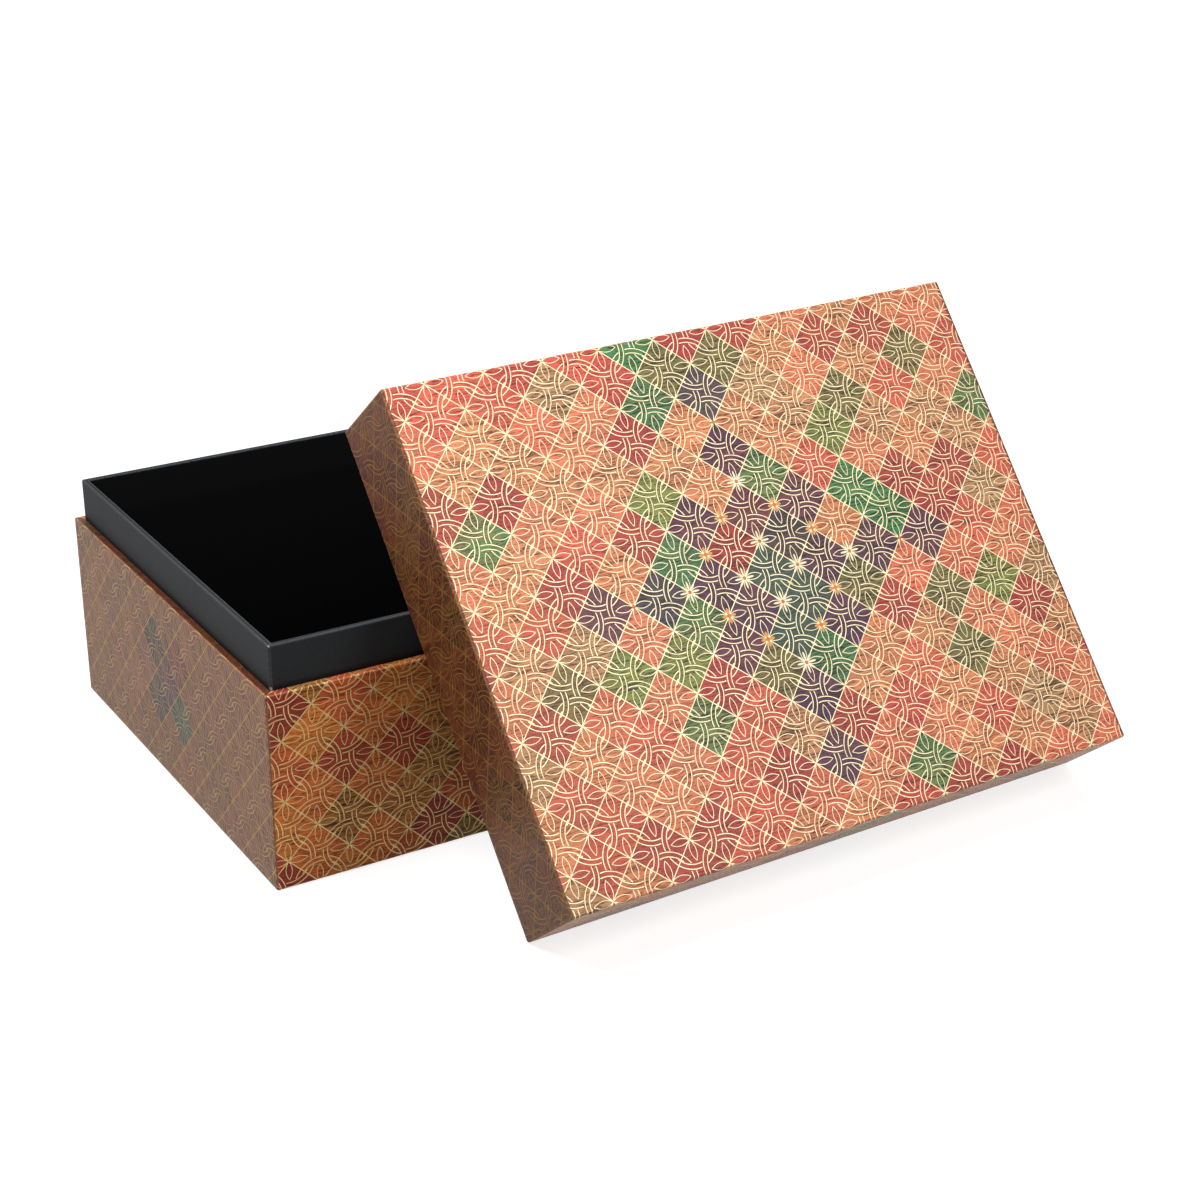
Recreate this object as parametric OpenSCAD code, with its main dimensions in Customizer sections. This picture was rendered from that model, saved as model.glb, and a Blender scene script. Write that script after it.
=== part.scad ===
// Keepsake box: a rigid board box wrapped in printed paper. The base carries a black
// neck that stands above its rim, and the lid is off, with its rim's lower edge on the
// table and its left wall leaning on the front edge of the neck.
// The origin is the centre of the base's underside, X runs along the long side, Z is up.

/* [Box] */
// Length of the base and of the lid, outside
box_l = 250; // [180:1:300]
// Width of the base and of the lid, outside
box_w = 195; // [150:1:240]
// Height of the base from the table to its rim
base_h = 78; // [60:1:110]
// Rounding of the wrapped corners
corner_r = 0.9; // [0.5:0.1:2]

/* [Neck] */
// Height of the neck above the rim of the base
neck_rise = 17; // [10:0.5:25]
// Thickness of the neck's board
neck_board_t = 2; // [1.5:0.1:3]

/* [Lid] */
// Height of the lid
lid_h = 38.5; // [28:0.5:60]
// Gap between the closed lid and the neck on each side
fit_gap = 0.3; // [0.2:0.1:0.8]

/* [Board and paper] */
// Thickness of the board of the base
base_board_t = 2.9; // [2.2:0.1:4]
// Thickness of a sheet of covering paper
paper_t = 0.25; // [0.15:0.05:0.4]
// Width of paper that is turned over an edge and pasted down
turn_in = 15; // [10:1:20]
// Distance from the edge of the base to the sheet under it
foot_inset = 1.5; // [1:0.5:4]

/* [Place of the lid] */
// Distance of the lid's lower left corner from the left end of the base
lid_aside = 60; // [30:1:80]
// Distance that the lid's lower edge stands in front of the base
lid_out = 76; // [60:1:100]
// Turn of the lid about the vertical
lid_yaw = 1.6; // [0:0.1:3]
// Gap left between the lid's rim and the neck that it leans on
touch_gap = 0.05; // [0.02:0.01:0.1]

/* [Hidden] */
$fn = 32;

printed_paper = "#a8603f";
black_paper = "#26282a";
grey_board = "#8d877c";

// Depth from the outer face of a wall to each layer's far side
board_face = paper_t;
base_board_in = board_face + base_board_t;
ledge_w = base_board_in + paper_t;
lid_board_t = base_board_t - fit_gap;
lid_board_in = board_face + lid_board_t;
lid_wall = lid_board_in + paper_t;

// The neck's layers, measured in from the outer face of the base
neck_board_out = ledge_w + paper_t;
neck_board_in = neck_board_out + neck_board_t;
neck_in = neck_board_in + paper_t;
neck_top = base_h + neck_rise;

// Heights of the layers under the base
foot_top = paper_t;
board_under = foot_top + paper_t;
board_floor = board_under + base_board_t;
lining_top = board_floor + paper_t;

// Rounding that stays at the inside corners
inner_r = 0.3;

// The lid's lower corner, and the lean at which its rim meets the neck's front edge
lid_corner_x = lid_aside - box_l / 2;
lid_corner_y = -box_w / 2 - lid_out;
neck_front_y = -box_w / 2 + ledge_w;
lean_run = (neck_front_y - lid_corner_y - lid_wall * sin(lid_yaw)) / cos(lid_yaw);
lid_lean = atan2(neck_top + touch_gap, lean_run);

// Corner rounding of a face that lies a given depth inside the outer face
function round_at(depth) = max(corner_r - depth, inner_r);

// Rectangle with rounded corners about the origin
module rounded_plate(l, w, r) {
    square([l - 2 * r, w], center = true);
    square([l, w - 2 * r], center = true);
    for (x = [-1, 1])
        for (y = [-1, 1])
            translate([x * (l / 2 - r), y * (w / 2 - r)])
                circle(r);
}

// The box's plan, drawn in by a depth from its outer face
module plan_at(depth) {
    rounded_plate(box_l - 2 * depth, box_w - 2 * depth, round_at(depth));
}

// The solid inside the face at one depth, from one height to another
module block_at(depth, bottom, top) {
    translate([0, 0, bottom])
        linear_extrude(top - bottom)
            plan_at(depth);
}

// A wall all round between two depths, from one height to another
module wall_ring(outer, inner, bottom, top) {
    translate([0, 0, bottom])
        linear_extrude(top - bottom)
            difference() {
                plan_at(outer);
                plan_at(inner);
            }
}

// The neck's own plan has its rounding at its outer face
module neck_plan(depth, r) {
    rounded_plate(box_l - 2 * depth, box_w - 2 * depth, r);
}

// A wall of the neck all round between two depths
module neck_ring(outer, inner, outer_r, bottom, top) {
    translate([0, 0, bottom])
        linear_extrude(top - bottom)
            difference() {
                neck_plan(outer, outer_r);
                neck_plan(inner, inner_r);
            }
}

// Tray of board: the bottom and four walls folded up from one sheet
module base_board() {
    color(grey_board)
        difference() {
            block_at(board_face, board_under, base_h - paper_t);
            block_at(base_board_in, board_floor, base_h);
        }
}

// One sheet over the walls, turned under the bottom and over the rim to the inside
module base_wrap() {
    color(printed_paper)
        union() {
            wall_ring(0, board_face, foot_top, base_h);
            wall_ring(0, turn_in, foot_top, board_under);
            wall_ring(0, ledge_w, base_h - paper_t, base_h);
            wall_ring(base_board_in, ledge_w, base_h - turn_in, base_h);
        }
}

// Sheet under the base, over the wrap's edges and pressed up to the board between them
module base_foot_sheet() {
    color(black_paper)
        union() {
            block_at(foot_inset, 0, foot_top);
            block_at(turn_in, 0, board_under);
        }
}

// Strip of board folded to a ring, standing on the bottom inside the base
module neck_board() {
    color(grey_board)
        neck_ring(neck_board_out, neck_board_in, corner_r - paper_t, board_floor, neck_top - paper_t);
}

// Black paper over both faces and the top edge of the neck
module neck_paper() {
    color(black_paper)
        difference() {
            neck_ring(ledge_w, neck_in, corner_r, board_floor, neck_top);
            neck_ring(neck_board_out, neck_board_in, corner_r - paper_t, board_floor - 1, neck_top - paper_t);
        }
}

// Black sheet pasted on the bottom inside the neck
module floor_lining() {
    color(black_paper)
        translate([0, 0, board_floor])
            linear_extrude(lining_top - board_floor)
                neck_plan(neck_in, inner_r);
}

// Puts a lid piece, drawn with its rim at the bottom, where it leans on the neck
module leaning_lid() {
    translate([lid_corner_x, lid_corner_y, 0])
        rotate([0, 0, lid_yaw])
            rotate([lid_lean, 0, 0])
                translate([box_l / 2, box_w / 2, 0])
                    children();
}

// Shallow tray of board, open towards the base
module lid_board() {
    color(grey_board)
        leaning_lid()
            difference() {
                block_at(board_face, paper_t, lid_h - paper_t);
                block_at(lid_board_in, 0, lid_h - paper_t - lid_board_t);
            }
}

// One sheet over the top and the walls, turned over the rim to the inside
module lid_wrap() {
    color(printed_paper)
        leaning_lid()
            union() {
                difference() {
                    block_at(0, 0, lid_h);
                    block_at(board_face, -1, lid_h - paper_t);
                }
                wall_ring(0, lid_wall, 0, paper_t);
                wall_ring(lid_board_in, lid_wall, 0, turn_in);
            }
}

// Black paper inside the lid, from the wrap's turned edge up to the top
module lid_lining() {
    color(black_paper)
        leaning_lid()
            difference() {
                block_at(lid_board_in, turn_in, lid_h - paper_t - lid_board_t);
                block_at(lid_wall, 0, lid_h - 2 * paper_t - lid_board_t);
            }
}

base_board();
base_wrap();
base_foot_sheet();
neck_board();
neck_paper();
floor_lining();
lid_board();
lid_wrap();
lid_lining();
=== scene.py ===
"""Dresses the keepsake box: printed wood-look paper with gold lines, and black neck and linings.

The base stands on the table and the lid leans on the neck. Every wrapped skin is a surface of two
parameters, the way along a wall and the way down its folded profile, and the gold lines are laid on
the same surface in the flat coordinates of the sheet before it was folded.
"""

import logging
import math
from dataclasses import dataclass, field
from enum import Enum, IntEnum
from typing import Any, Callable, Mapping, Sequence, Union

import bpy
import numpy as np
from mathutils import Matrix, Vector

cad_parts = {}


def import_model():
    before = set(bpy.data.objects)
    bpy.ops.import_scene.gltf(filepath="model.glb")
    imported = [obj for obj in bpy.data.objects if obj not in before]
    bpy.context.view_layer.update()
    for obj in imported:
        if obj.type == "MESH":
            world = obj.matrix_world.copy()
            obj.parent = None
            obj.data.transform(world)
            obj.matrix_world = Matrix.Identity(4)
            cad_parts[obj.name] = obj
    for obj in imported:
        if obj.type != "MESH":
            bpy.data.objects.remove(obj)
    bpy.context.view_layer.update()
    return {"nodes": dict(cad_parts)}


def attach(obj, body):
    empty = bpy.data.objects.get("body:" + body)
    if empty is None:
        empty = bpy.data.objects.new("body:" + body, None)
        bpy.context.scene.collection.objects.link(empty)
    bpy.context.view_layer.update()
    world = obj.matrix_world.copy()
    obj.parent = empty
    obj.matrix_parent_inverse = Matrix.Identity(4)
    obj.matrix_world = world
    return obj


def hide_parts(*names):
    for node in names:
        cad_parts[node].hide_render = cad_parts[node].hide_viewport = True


LOG = logging.getLogger("keepsake_box")
MM = 0.001
# A quarter turn in radians
QUARTER = math.pi / 2.0
BODY = "root"
# Half the step between two whole numbers, to round one or to tell them apart
HALF_STEP = 0.5
# Points that are less than this apart, in metres, are joined
JOIN_STEP = 1e-7
# Further out than any point of the object, in metres
FAR = 1.0
WHITE = (1.0, 1.0, 1.0, 1.0)
# Painted shade that the print and its lines are multiplied by on the base's short rims
RIM_PAINTED_SHADE = "#a38c85"

Array = np.ndarray
Place = tuple[float, float, float]


class Slot(Enum):
    """The record's finishes, passed along with the new pieces."""

    PRINTED = "printed_paper"
    BLACK = "black_paper"


class Side(IntEnum):
    """The four walls of a box, counted by quarter turns from the right one."""

    RIGHT = 0
    BACK = 1
    LEFT = 2
    FRONT = 3


# What stands for a wall where a point lies on the flat panel, and where it lies off the sheet
FLAT_PANEL = 4
OFF_SHEET = -1


def solid(code: str) -> tuple[float, ...]:
    """Turns a colour written as six hex digits into linear light, by the curve of sRGB.

    Args:
        code: The colour as #rrggbb.

    Returns:
        Red, green and blue from 0 to 1 in linear light, and 1 for opaque.
    """
    parts = [int(code[i:i + 2], 16) / 255.0 for i in (1, 3, 5)]
    linear = [c / 12.92 if c <= 0.04045 else ((c + 0.055) / 1.055) ** 2.4 for c in parts]
    return (*linear, 1.0)


def put(name: str, data: bpy.types.ID) -> bpy.types.Object:
    """Makes an object and puts it in the scene.

    Args:
        name: Its name.
        data: Its mesh, lamp or camera.

    Returns:
        The new object.
    """
    made = bpy.data.objects.new(name, data)
    bpy.context.scene.collection.objects.link(made)
    return made


def operation(name: str, swapped: bool = False) -> Callable[["Signal", "Number"], "Signal"]:
    """Makes an operator of signals.

    Args:
        name: The Math node's operation.
        swapped: Whether the other value comes first.

    Returns:
        The method, which adds the node.
    """
    def operator(this: "Signal", other: "Number") -> "Signal":
        """Adds the Math node."""
        first, second = (other, this) if swapped else (this, other)
        return this.bench.take("Math", {"operation": name}, {0: first, 1: second})

    return operator


class Signal:
    """A node's output that Python's arithmetic works on, each operation adding one Math node."""

    def __init__(self, bench: "Bench", socket: bpy.types.NodeSocket) -> None:
        """Wraps the socket for the bench that owns its tree."""
        self.bench = bench
        self.socket = socket

    __add__ = __radd__ = operation("ADD")
    __sub__ = operation("SUBTRACT")
    __rsub__ = operation("SUBTRACT", swapped=True)
    __mul__ = __rmul__ = operation("MULTIPLY")
    __truediv__ = operation("DIVIDE")
    __gt__ = operation("GREATER_THAN")
    __lt__ = operation("LESS_THAN")

    def __abs__(self) -> "Signal":
        """Absolute value."""
        return self.bench.take("Math", {"operation": "ABSOLUTE"}, {0: self})

    def __floor__(self) -> "Signal":
        """Whole part."""
        return self.bench.take("Math", {"operation": "FLOOR"}, {0: self})

    def ramp_between(self, low: float, high: float) -> "Signal":
        """Rises smoothly from 0 at low to 1 at high."""
        settings = {"interpolation_type": "SMOOTHSTEP"}
        return self.bench.take("MapRange", settings, {0: self, 1: low, 2: high})

    def swing(self, width: float) -> "Signal":
        """From between 0 and 1 to that width about 0."""
        return (self - 0.5) * width

    def near(self, whole: "Number") -> "Signal":
        """1 where this whole number is that one, and else 0."""
        return abs(self - whole) < HALF_STEP

    def clamped(self) -> "Signal":
        """Held between 0 and 1."""
        return self.bench.take("Clamp", {}, {0: self})


Number = Union[float, int, Signal]
Input = Union[Signal, float, int, str, Sequence[float], bpy.types.NodeSocket]


class Bench:
    """The node tree of a material or a world, and the one way that its nodes are added.

    Its three numbers are the Mix node's colour sockets, which share names with its others.
    """

    colour_a = 6
    colour_b = 7
    colour_out = 2

    def __init__(self, owner: Union[bpy.types.Material, bpy.types.World]) -> None:
        """Empties the owner's tree and works in it.

        Args:
            owner: The material or world.
        """
        self.owner = owner
        owner.use_nodes = True
        self.tree = owner.node_tree
        self.tree.nodes.clear()

    @classmethod
    def material(cls, name: str) -> "Bench":
        """A bench with a new material of that name."""
        return cls(bpy.data.materials.new(name))

    def node(
        self, kind: str, settings: Mapping[str, Any], inputs: Mapping[Any, Input]
    ) -> bpy.types.Node:
        """Adds a node, sets it up and then links or fills its sockets.

        Args:
            kind: The node's type, without the prefix that all shader nodes share.
            settings: Its properties; "stops" holds a ramp's positions and colours.
            inputs: Values, signals or sockets by input name or number.

        Returns:
            The new node.
        """
        made = self.tree.nodes.new("ShaderNode" + kind)
        for name, value in settings.items():
            if name == "stops":
                self.set_stops(made.color_ramp, value)
            else:
                setattr(made, name, value)
        for key, value in inputs.items():
            source = value.socket if isinstance(value, Signal) else value
            if isinstance(source, bpy.types.NodeSocket):
                self.tree.links.new(source, made.inputs[key])
            else:
                made.inputs[key].default_value = source
        return made

    @staticmethod
    def set_stops(
        ramp: bpy.types.ColorRamp, stops: Sequence[tuple[float, Sequence[float]]]
    ) -> None:
        """Gives a ramp its stops, in order of position, each colour held up to the next.

        Args:
            ramp: The colour ramp.
            stops: Positions and colours.
        """
        ramp.interpolation = "CONSTANT"
        while len(ramp.elements) < len(stops):
            ramp.elements.new(1.0)
        for element, (position, colour) in zip(ramp.elements, stops):
            element.position = position
            element.color = colour

    def take(
        self,
        kind: str,
        settings: Mapping[str, Any],
        inputs: Mapping[Any, Input],
        output: Union[int, str] = 0,
    ) -> Signal:
        """Adds a node and takes one of its outputs as a signal."""
        return Signal(self, self.node(kind, settings, inputs).outputs[output])

    def vector(self, x: Number, y: Number, z: Number) -> Signal:
        """Three numbers joined to a vector."""
        return self.take("CombineXYZ", {}, {0: x, 1: y, 2: z})

    def parts(self, whole: Signal, kind: str = "SeparateXYZ") -> list[Signal]:
        """The three numbers of a vector, or with another node those of a colour."""
        made = self.node(kind, {}, {0: whole})
        return [Signal(self, made.outputs[n]) for n in range(3)]

    def object_place(self) -> Signal:
        """The place on the piece, in metres, in the piece's own frame."""
        return self.take("TexCoord", {}, {}, "Object")

    def sheet_place(self) -> list[Signal]:
        """The ways along and across the flat sheet, in metres from its middle."""
        return self.parts(self.take("UVMap", {"uv_map": "sheet"}, {}))[:2]

    def fold_mark(self) -> Signal:
        """1 on a fold and 0 off it."""
        return self.take("Attribute", {"attribute_name": "fold"}, {}, "Fac")

    def noise(
        self, place: Signal, scale: float, octaves: float = 3.0, finer: float = 0.55
    ) -> Signal:
        """Smooth noise from 0 to 1, each octave having the finer share of the one before."""
        inputs = {"Vector": place, "Scale": scale, "Detail": octaves, "Roughness": finer}
        return self.take("TexNoise", {}, inputs)

    def scatter(self, place: Signal) -> list[Signal]:
        """Three even random numbers for each whole-numbered place."""
        noise = self.take("TexWhiteNoise", {"noise_dimensions": "3D"}, {"Vector": place}, "Color")
        return self.parts(noise, "SeparateColor")

    def pick(self, value: Signal, colours: Sequence[str]) -> Signal:
        """One of the colours, by even steps of a value from 0 to 1."""
        stops = [(n / len(colours), solid(code)) for n, code in enumerate(colours)]
        return self.take("ValToRGB", {"stops": stops}, {0: value})

    def blend(self, factor: Number, low: Input, high: Input, mode: str = "MIX") -> Signal:
        """Two colours mixed, with that much of the second."""
        inputs = {0: factor, self.colour_a: low, self.colour_b: high}
        return self.take("Mix", {"data_type": "RGBA", "blend_type": mode}, inputs, self.colour_out)

    def shade(self, colour: Signal, strength: Signal) -> Signal:
        """A colour made lighter or darker by a number."""
        return self.take("VectorMath", {"operation": "SCALE"}, {0: colour, "Scale": strength})

    def relief(self, height: Signal, depth: float, strength: float) -> Signal:
        """The normal of a surface whose relief is that deep in metres and shows that much."""
        return self.take("Bump", {}, {"Height": height, "Distance": depth, "Strength": strength})

    def surface(self, inputs: Mapping[str, Input]) -> bpy.types.Material:
        """Ends the tree with a Principled surface.

        Args:
            inputs: Its sockets by name.

        Returns:
            The finished material.
        """
        shader = self.node("BsdfPrincipled", {}, inputs)
        self.node("OutputMaterial", {}, {"Surface": shader.outputs[0]})
        return self.owner

    def looked_at(self) -> Signal:
        """Tells the rays that a camera, a mirror or a glass sends out.

        Returns:
            1 for those rays, and else 0.
        """
        path = self.node("LightPath", {}, {})
        kinds = ("Is Camera Ray", "Is Glossy Ray", "Is Transmission Ray")
        camera, mirror, glass = (Signal(self, path.outputs[kind]) for kind in kinds)
        return (camera + mirror + glass).clamped()


@dataclass(frozen=True)
class Run:
    """A stretch of a profile: straight, or an arc that turns in towards the box."""

    length: float
    turn: float = 0.0


def fold(radius: float) -> Run:
    """A quarter turn of that radius."""
    return Run(radius * QUARTER, QUARTER)


@dataclass(frozen=True)
class Profile:
    """The section of a folded sheet, followed from the panel's edge out, down, in and up.

    Depth is measured in from the outer face of the wall and drop is measured down from the panel.
    The mesh has rows a pitch apart, one more beside each fold at the support's distance, or at that
    share of a short run, and the fold's own steps. The first and last row of a fold have a mark of
    their own, weaker than the fold's 1.
    """

    runs: tuple[Run, ...]
    start_depth: float
    start_heading: float = 0.0
    support: float = 0.3 * MM
    support_share: float = 0.3
    pitch: float = 9.0 * MM
    fold_steps: int = 5
    fold_end_mark: float = 0.6

    @property
    def shown(self) -> float:
        """The way along the section up to the last fold, past which it is turned inside."""
        return sum(run.length for run in self.runs[:-2])

    @property
    def rim_start(self) -> float:
        """The way along a wrap's section up to its rim."""
        return sum(run.length for run in self.runs[:-3])

    @property
    def fold_places(self) -> Array:
        """How far along the section the middle of each fold is."""
        starts = np.cumsum([0.0] + [run.length for run in self.runs])
        return np.array([at + run.length / 2 for at, run in zip(starts, self.runs) if run.turn])

    def trace(self, way: Array) -> tuple[Array, Array, Array]:
        """Follows the section.

        A straight run adds its length along the heading a. An arc of radius R that has turned by t
        adds R (sin a - sin(a - t)) outwards and R (cos(a - t) - cos a) upwards.

        Args:
            way: Distances along the section.

        Returns:
            Depth, drop and heading at each distance.
        """
        outward = np.full_like(way, -self.start_depth)
        upward = np.zeros_like(way)
        heading = np.full_like(way, self.start_heading)
        at, angle = 0.0, self.start_heading
        for run in self.runs:
            part = np.clip(way - at, 0.0, run.length)
            if run.turn:
                radius = run.length / run.turn
                turned = part / radius
                outward += radius * (math.sin(angle) - np.sin(angle - turned))
                upward += radius * (np.cos(angle - turned) - math.cos(angle))
                heading -= turned
            else:
                outward += part * math.cos(angle)
                upward += part * math.sin(angle)
            at += run.length
            angle -= run.turn
        return -outward, -upward, heading

    def rows(self) -> tuple[Array, Array]:
        """Where the mesh has rows, and 1 for the rows on a fold.

        Returns:
            Distances along the section, and the fold mark of each.
        """
        ways, marks = [0.0], [0.0]
        at = 0.0
        for run in self.runs:
            if run.turn:
                steps = np.linspace(0.0, run.length, self.fold_steps + 1)[1:]
                flags = np.append(np.ones(self.fold_steps - 1), self.fold_end_mark)
                marks[-1] = self.fold_end_mark
            else:
                count = max(2, int(run.length / self.pitch) + 1)
                ends = min(self.support, run.length * self.support_share)
                steps = np.append(np.linspace(ends, run.length - ends, count), run.length)
                flags = np.zeros(len(steps))
            ways.extend(at + steps)
            marks.extend(flags)
            at += run.length
        return np.array(ways), np.array(marks)


@dataclass(frozen=True)
class Pose:
    """Where a box part stands: a lean about X, then a turn about Z, then a shift."""

    lean: float = 0.0
    turn: float = 0.0
    shift: Place = (0.0, 0.0, 0.0)

    @property
    def matrix(self) -> Array:
        """The rotation, turn after lean.

        Returns:
            The matrix that columns of coordinates are multiplied by.
        """
        ct, st = math.cos(self.turn), math.sin(self.turn)
        cl, sl = math.cos(self.lean), math.sin(self.lean)
        turning = np.array([[ct, -st, 0.0], [st, ct, 0.0], [0.0, 0.0, 1.0]])
        leaning = np.array([[1.0, 0.0, 0.0], [0.0, cl, -sl], [0.0, sl, cl]])
        return turning @ leaning

    def points(self, local: Array) -> Array:
        """Points moved from the part's frame to the row's."""
        return local @ self.matrix.T + np.array(self.shift)

    def directions(self, local: Array) -> Array:
        """Directions turned from the part's frame to the row's."""
        return local @ self.matrix.T


@dataclass
class Skin:
    """A sheet folded over a box, as a surface of the way along a wall and the way down its section.

    The sheet's flat coordinates have their origin at the panel's middle. On a wall whose outward
    direction is n and whose direction along is t, a point lies at (panel half + way) n + along t.
    """

    length: float
    width: float
    profile: Profile
    level: float
    corner_r: float
    inner_r: float = 0.2 * MM
    upside_down: bool = False
    pose: Pose = field(default_factory=Pose)
    corner_columns: int = 4

    @property
    def flip(self) -> float:
        """-1 for a sheet that starts at the underside, and else 1."""
        return -1.0 if self.upside_down else 1.0

    def halves(self, side: Array) -> tuple[Array, Array]:
        """How far out each wall stands, and half its length."""
        plan = (self.length / 2, self.width / 2)
        return tuple(np.where(side % 2 == 0, first, second) for first, second in (plan, plan[::-1]))

    def directions(self, side: Array) -> tuple[Array, Array]:
        """The outward direction of each wall and the one along it, in plan."""
        cos, sin = np.cos(side * QUARTER), np.sin(side * QUARTER)
        return np.stack([cos, sin], axis=-1), np.stack([-sin, cos], axis=-1)

    def place(self, side: Array, along: Array, way: Array) -> tuple[Array, Array]:
        """Puts points of the walls in space.

        At depth d the plan is a rectangle whose corners have radius r = max(corner - d, inner).
        The straight part is scaled to H - d - r. Past it the corner turns by b, which adds r sin b
        along the wall and takes r (1 - cos b) off its reach.

        Args:
            side: The wall of each point.
            along: The way along it from its middle.
            way: The way down the section.

        Returns:
            Points and outward normals in the row frame.
        """
        depth, drop, heading = self.profile.trace(way)
        across, half = self.halves(side)
        out, tangent = self.directions(side)
        radius = np.maximum(self.corner_r - depth, self.inner_r)
        straight = half - self.corner_r
        bend = np.clip(np.abs(along) - straight, 0.0, None) / self.corner_r
        shrink = (half - depth - radius) / straight
        run = np.minimum(np.abs(along), straight) * shrink + radius * np.sin(bend)
        run = run * np.sign(along)
        reach = across - depth - radius * (1.0 - np.cos(bend))
        plan = reach[..., None] * out + run[..., None] * tangent
        lean = np.cos(bend)[..., None] * out + (np.sign(along) * np.sin(bend))[..., None] * tangent
        rise = self.level - self.flip * drop
        points = np.concatenate([plan, rise[..., None]], axis=-1)
        outwards = -np.sin(heading)[..., None] * lean
        normals = np.concatenate([outwards, (self.flip * np.cos(heading))[..., None]], axis=-1)
        return self.pose.points(points), self.pose.directions(normals)

    def panel_half(self) -> tuple[float, float]:
        """Half length and half width of the flat panel, up to where the section starts."""
        start = self.profile.start_depth
        return self.length / 2 - start, self.width / 2 - start

    def lay(self, sheet: Array, lift: float, last_way: float) -> tuple[Array, Array]:
        """Lays points of the flat sheet on the folded one.

        Args:
            sheet: Flat coordinates.
            lift: Height over the paper.
            last_way: How far down the section a point may lie.

        Returns:
            Points in the row frame, and the wall of each, which is a number of its own on the
            panel and off the sheet.
        """
        over = np.abs(sheet) - np.array(self.panel_half())
        short_wall = np.where(sheet[:, 0] > 0, int(Side.RIGHT), int(Side.LEFT))
        long_wall = np.where(sheet[:, 1] > 0, int(Side.BACK), int(Side.FRONT))
        side = np.where(over[:, 0] > over[:, 1], short_wall, long_wall)
        way = over.max(axis=1)
        along = np.sum(sheet * self.directions(side)[1], axis=1)
        end = self.halves(side)[1] - self.corner_r + self.corner_r * QUARTER / 2
        points, normals = self.place(side, np.clip(along, -end, end), np.maximum(way, 0.0))
        on_panel = way <= 0.0
        flat = self.pose.points(np.column_stack([sheet, np.full(len(sheet), self.level)]))
        up = self.pose.directions(np.array([[0.0, 0.0, self.flip]]))
        points = np.where(on_panel[:, None], flat, points)
        normals = np.where(on_panel[:, None], up, normals)
        where = np.where(on_panel, FLAT_PANEL, side)
        off = ~on_panel & ((np.abs(along) > end) | (way > last_way))
        return points + lift * normals, np.where(off, OFF_SHEET, where)

    def near_fold(self, sheet: Array, margin: float = 1.4 * MM) -> Array:
        """Marks the flat points within a margin of a fold, where a line needs short steps."""
        folds = np.array(self.panel_half())[:, None] + self.profile.fold_places
        return (np.abs(np.abs(sheet)[..., None] - folds) < margin).any(axis=(-2, -1))

    def columns(self, side: Side) -> tuple[Array, Array]:
        """Where a wall's mesh has columns, and 1 for those round a corner.

        Args:
            side: The wall.

        Returns:
            The way along the wall, and the corner mark of each column.
        """
        straight = float(self.halves(np.array(side))[1]) - self.corner_r
        support = self.profile.support
        count = int(2 * straight / self.profile.pitch)
        flat = np.linspace(-straight + support, straight - support, count)
        arc = straight + np.linspace(0.0, self.corner_r * QUARTER / 2, self.corner_columns)
        ways = np.concatenate([-arc[::-1], flat, arc])
        marks = np.where(np.abs(ways) >= straight - JOIN_STEP, 1.0, 0.0)
        return ways, marks

    def mesh(self, name: str) -> bpy.types.Object:
        """Builds the skin with its flat coordinates and its fold marks.

        Args:
            name: The piece's name.

        Returns:
            The new object.
        """
        rows, row_marks = self.profile.rows()
        half = self.panel_half()
        points, sheets, marks, quads, rings = [], [], [], [], []
        start = 0
        for side in Side:
            columns, column_marks = self.columns(side)
            along, way = np.meshgrid(columns, rows, indexing="ij")
            sides = np.full(along.shape, int(side))
            placed, _ = self.place(sides, along, way)
            out, tangent = self.directions(sides)
            flat = (half[side % 2] + way)[..., None] * out + along[..., None] * tangent
            index = start + np.arange(along.size).reshape(along.shape)
            corners = (index[:-1, :-1], index[:-1, 1:], index[1:, 1:], index[1:, :-1])
            quads.append(np.stack(corners, axis=-1).reshape(-1, 4))
            rings.append(index[:-1, 0])
            points.append(placed.reshape(-1, 3))
            sheets.append(flat.reshape(-1, 2))
            marks.append(np.maximum(column_marks[:, None], row_marks[None, :]).ravel())
            start += along.size
        faces = np.concatenate(quads)
        loops, counts = faces.ravel(), np.full(len(faces), 4)
        if not self.upside_down:
            ring = np.concatenate(rings)
            loops, counts = np.append(loops, ring), np.append(counts, len(ring))
        piece = FaceSet(np.concatenate(points), loops, counts)
        return piece.build(name, np.concatenate(sheets), np.concatenate(marks), self.upside_down)


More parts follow.
